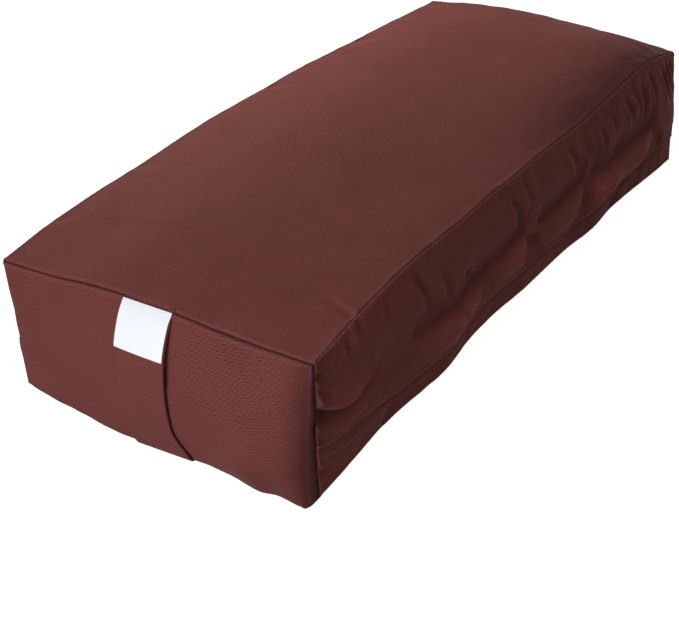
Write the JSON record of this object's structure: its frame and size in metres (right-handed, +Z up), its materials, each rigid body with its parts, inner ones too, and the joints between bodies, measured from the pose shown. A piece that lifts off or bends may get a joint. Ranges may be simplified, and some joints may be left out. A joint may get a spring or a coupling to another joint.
{
  "type": "rectangular yoga bolster",
  "caption": "Firm box-shaped floor cushion in a zipped twill cover with a lapped zip along one long side and a carry handle on one end.",
  "frame": {"origin": "on the floor, under the middle of the stuffed form", "axes": "+Y along the bolster, away from the end with the handle; +X across it, towards the long side with the zip; +Z up"},
  "size_m": [0.3, 0.7253, 0.157],
  "materials": {
    "cover_twill": "red-brown cotton twill, matt, fine diagonal ribs",
    "handle_twill": "the same cotton twill, folded double",
    "label_weave": "smooth white woven ribbon, left bare",
    "liner_muslin": "undyed plain-weave muslin",
    "cotton_fill": "firm cotton batting",
    "zip_tape": "woven zip tape dyed to match the cover",
    "zip_teeth": "dyed nylon coil",
    "zip_metal": "zinc, enamelled to match the tape"
  },
  "bodies": {
    "bolster": {"cover_top": "cover_twill", "cover_bottom": "cover_twill", "cover_end_with_handle": "cover_twill", "cover_end_plain": "cover_twill", "cover_side_plain": "cover_twill", "cover_side_upper": "cover_twill", "cover_side_lower": "cover_twill", "carry_handle": "handle_twill", "handle_label": "label_weave", "liner_top": "liner_muslin", "liner_bottom": "liner_muslin", "liner_band": "liner_muslin", "fill_batt_lower": "cotton_fill", "fill_batt_middle": "cotton_fill", "fill_batt_upper": "cotton_fill", "zip_tape_upper": "zip_tape", "zip_tape_lower": "zip_tape", "zip_teeth_upper": "zip_teeth", "zip_teeth_lower": "zip_teeth", "zip_bottom_stop": "zip_metal", "zip_top_stop_upper": "zip_metal", "zip_top_stop_lower": "zip_metal"},
    "slider": {"zip_slider": "zip_metal"},
    "pull_tab": {"zip_pull_tab": "zip_metal"}
  },
  "joints": [
    {"name": "zip_slide", "type": "slide", "parent": "bolster", "child": "slider", "axis": [0, -1, 0], "range_m": [0, 0.507]},
    {"name": "tab_swing", "type": "hinge", "parent": "slider", "child": "pull_tab", "pos_m": [0.14483, 0.2537, 0.057], "axis": [0, 0, 1], "range_deg": [0, 10]}
  ]
}
